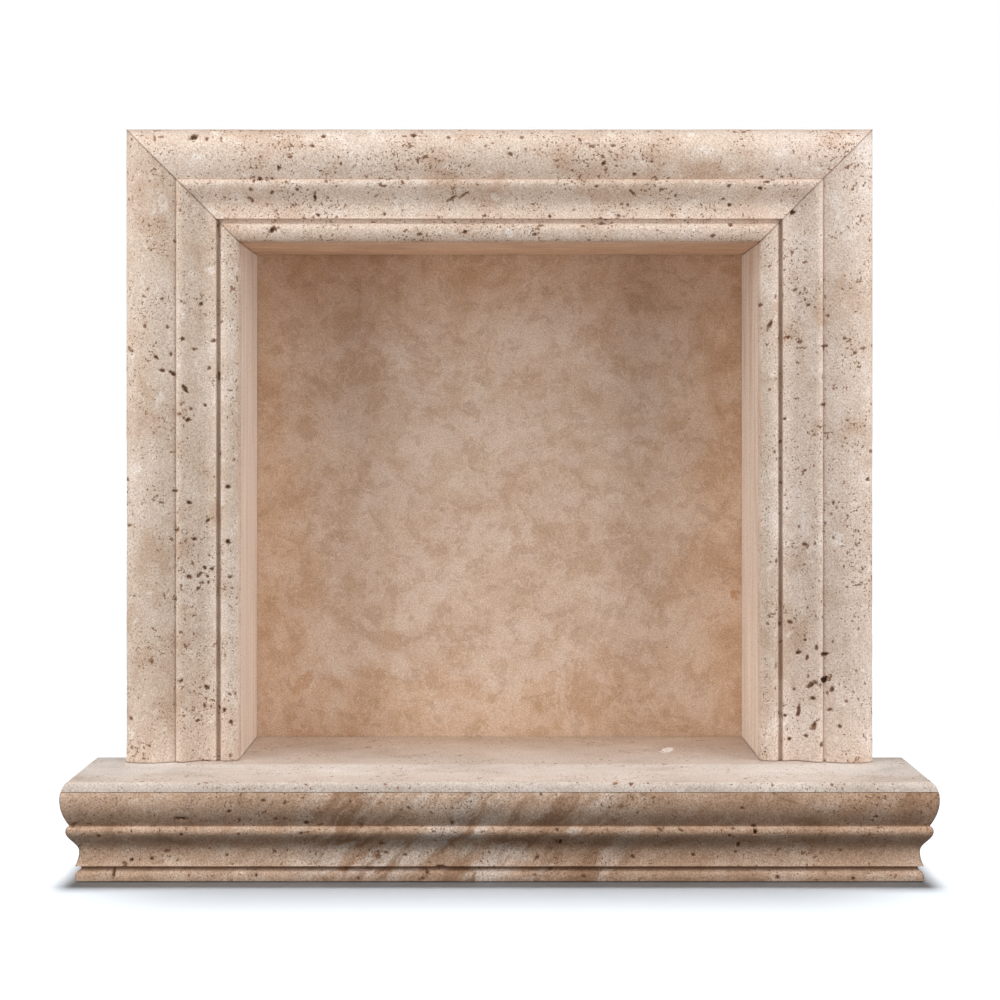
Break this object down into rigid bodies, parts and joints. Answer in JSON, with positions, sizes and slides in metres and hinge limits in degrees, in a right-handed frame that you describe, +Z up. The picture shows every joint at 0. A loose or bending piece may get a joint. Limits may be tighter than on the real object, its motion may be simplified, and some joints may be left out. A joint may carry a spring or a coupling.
{
  "type": "stone shower niche",
  "caption": "Built-in travertine shower niche: open box for bottles, with a mitred moulded frame standing on a projecting shelf over a moulded apron.",
  "frame": {"origin": "on the back of the header moulding, on the centre line, halfway up the band that bears on the wall between the box's top and the frame's top edge", "axes": "X along the wall, +Y into the wall, +Z up; the wall's face is the plane Y = 0"},
  "size_m": [0.4814, 0.1717, 0.424],
  "materials": {
    "frame_stone": "honed unfilled travertine, ivory cream with open pits",
    "shelf_stone": "honed travertine, light ivory with few pits",
    "apron_stone": "honed unfilled travertine, tan with brown and white slanting bands",
    "lining_stone": "honed filled travertine cut along the bed, faint straight veins",
    "back_stone": "honed filled travertine, clouded tan and cream"
  },
  "bodies": {
    "root": {"header_moulding": "frame_stone", "left_stile": "frame_stone", "right_stile": "frame_stone", "shelf_slab": "shelf_stone", "apron_front": "apron_stone", "apron_return_left": "apron_stone", "apron_return_right": "apron_stone", "left_side_slab": "lining_stone", "right_side_slab": "lining_stone", "ceiling_slab": "lining_stone", "back_panel": "back_stone"}
  },
  "joints": []
}
